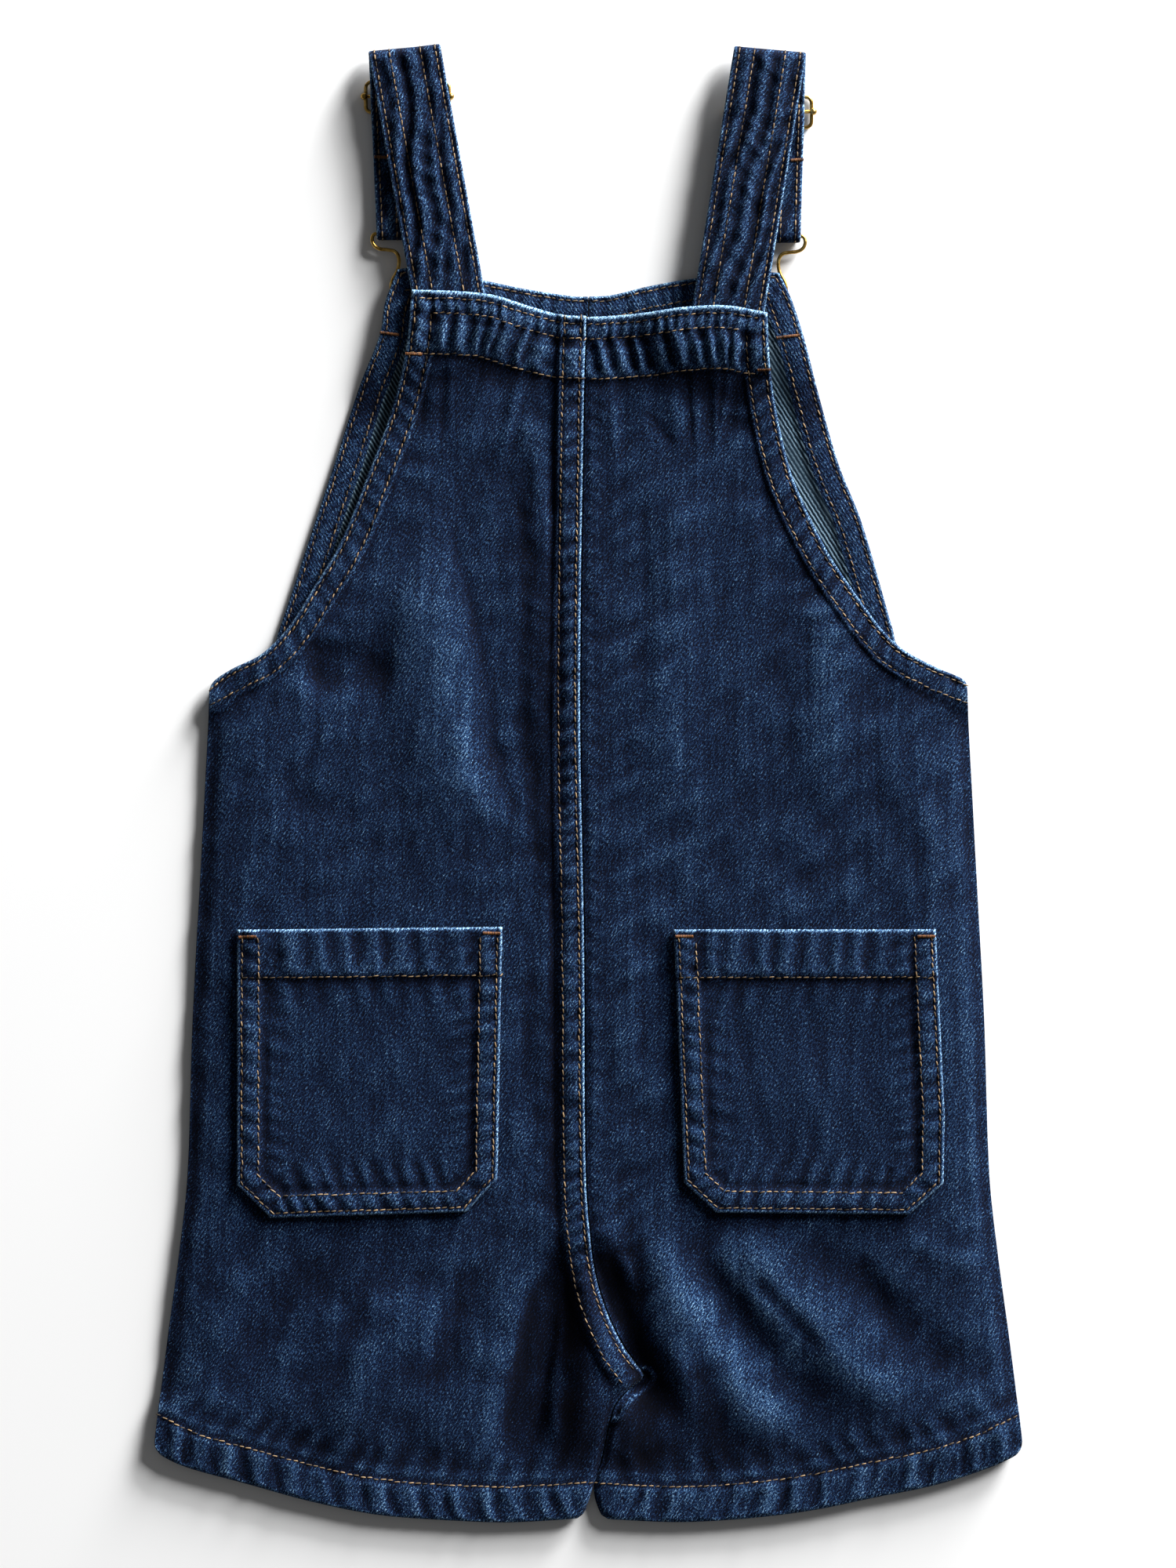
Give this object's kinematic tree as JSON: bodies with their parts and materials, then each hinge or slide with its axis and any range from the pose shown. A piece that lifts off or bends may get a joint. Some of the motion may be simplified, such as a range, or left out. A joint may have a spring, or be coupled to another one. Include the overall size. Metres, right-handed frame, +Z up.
{
  "type": "denim shortalls",
  "caption": "Small child's denim shortalls laid flat with the back side up: bib overall with short legs, patch pockets, straps, brass slides and wire hooks.",
  "frame": {"origin": "middle of the garment's outline, on the surface that it lies on", "axes": "+Y up the garment towards the shoulder straps, +X to the right of someone who looks down on the back, +Z up out of the surface"},
  "size_m": [0.3332, 0.5657, 0.0103],
  "materials": {
    "denim": "washed indigo twill, matt",
    "thread": "tan sewing thread with a slight sheen",
    "brass": "antiqued brass wire, satin"
  },
  "bodies": {
    "root": {"back_left": "denim", "back_right": "denim", "front_left": "denim", "front_right": "denim", "pocket_left": "denim", "pocket_right": "denim", "strap_left": "denim", "strap_right": "denim", "slider_left": "brass", "slider_right": "brass", "hook_left": "brass", "hook_right": "brass", "button_left": "brass", "button_right": "brass"}
  },
  "joints": []
}
